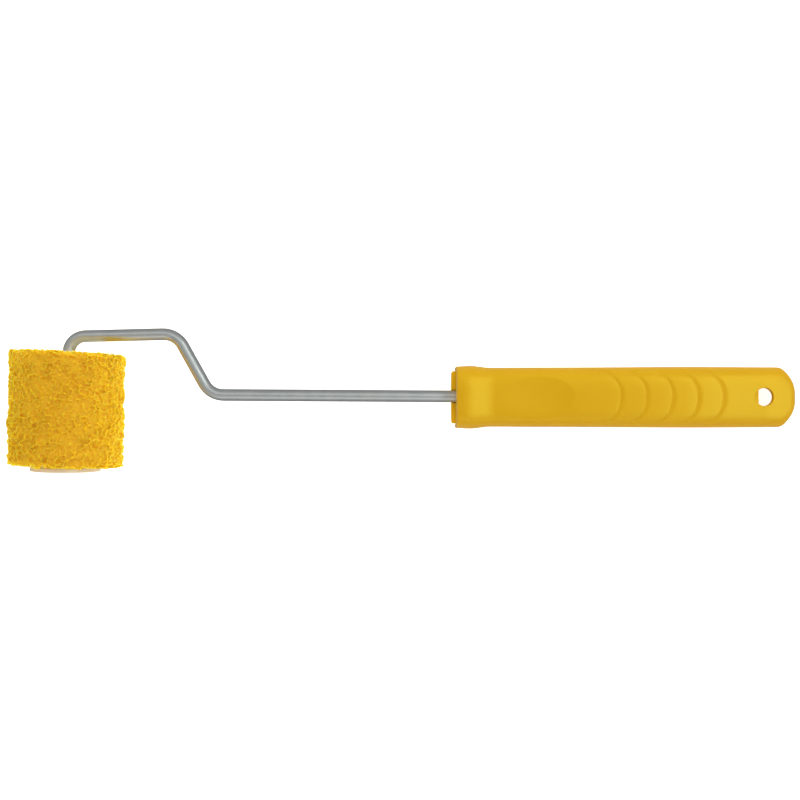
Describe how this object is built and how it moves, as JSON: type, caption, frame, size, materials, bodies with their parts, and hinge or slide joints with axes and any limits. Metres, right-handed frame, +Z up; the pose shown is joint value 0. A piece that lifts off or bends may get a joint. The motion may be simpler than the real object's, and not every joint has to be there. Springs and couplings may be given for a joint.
{
  "type": "paint roller",
  "caption": "Mini paint roller: coarse foam sleeve spinning on a bent wire frame, with a flat oval two-part moulded handle and a hanging hole.",
  "frame": {"origin": "centre of the tool's bounding box at its bottom: the ground that the foam sleeve and the back shell's tail end rest on", "axes": "+X along the tool, from the roller to the handle's tail; +Z up, on the side of the handle's crowned front; +Y across, towards the wire's cross arm"},
  "size_m": [0.3506, 0.0646, 0.049],
  "materials": {
    "handle_front_shell": "satin",
    "handle_back_shell": "satin",
    "frame_wire": "satin",
    "foam_sleeve": "matte",
    "core_tube": "satin",
    "inner_end_cap": "satin",
    "outer_end_cap": "satin",
    "thrust_washer": "matte",
    "axle_stop_ring": "satin",
    "push_nut": "satin"
  },
  "bodies": {
    "tool": {"handle_front_shell": "handle_front_shell", "handle_back_shell": "handle_back_shell", "frame_wire": "frame_wire", "axle_stop_ring": "axle_stop_ring", "inner_thrust_washer": "thrust_washer", "outer_thrust_washer": "thrust_washer", "push_nut": "push_nut"},
    "roller": {"foam_sleeve": "foam_sleeve", "core_tube": "core_tube", "inner_end_cap": "inner_end_cap", "outer_end_cap": "outer_end_cap"}
  },
  "joints": [
    {"name": "roller_spin", "type": "hinge", "parent": "tool", "child": "roller", "pos_m": [-0.15036, -0.00426, 0.0245], "axis": [0.0209, 0.9998, -0.001], "continuous": true}
  ]
}
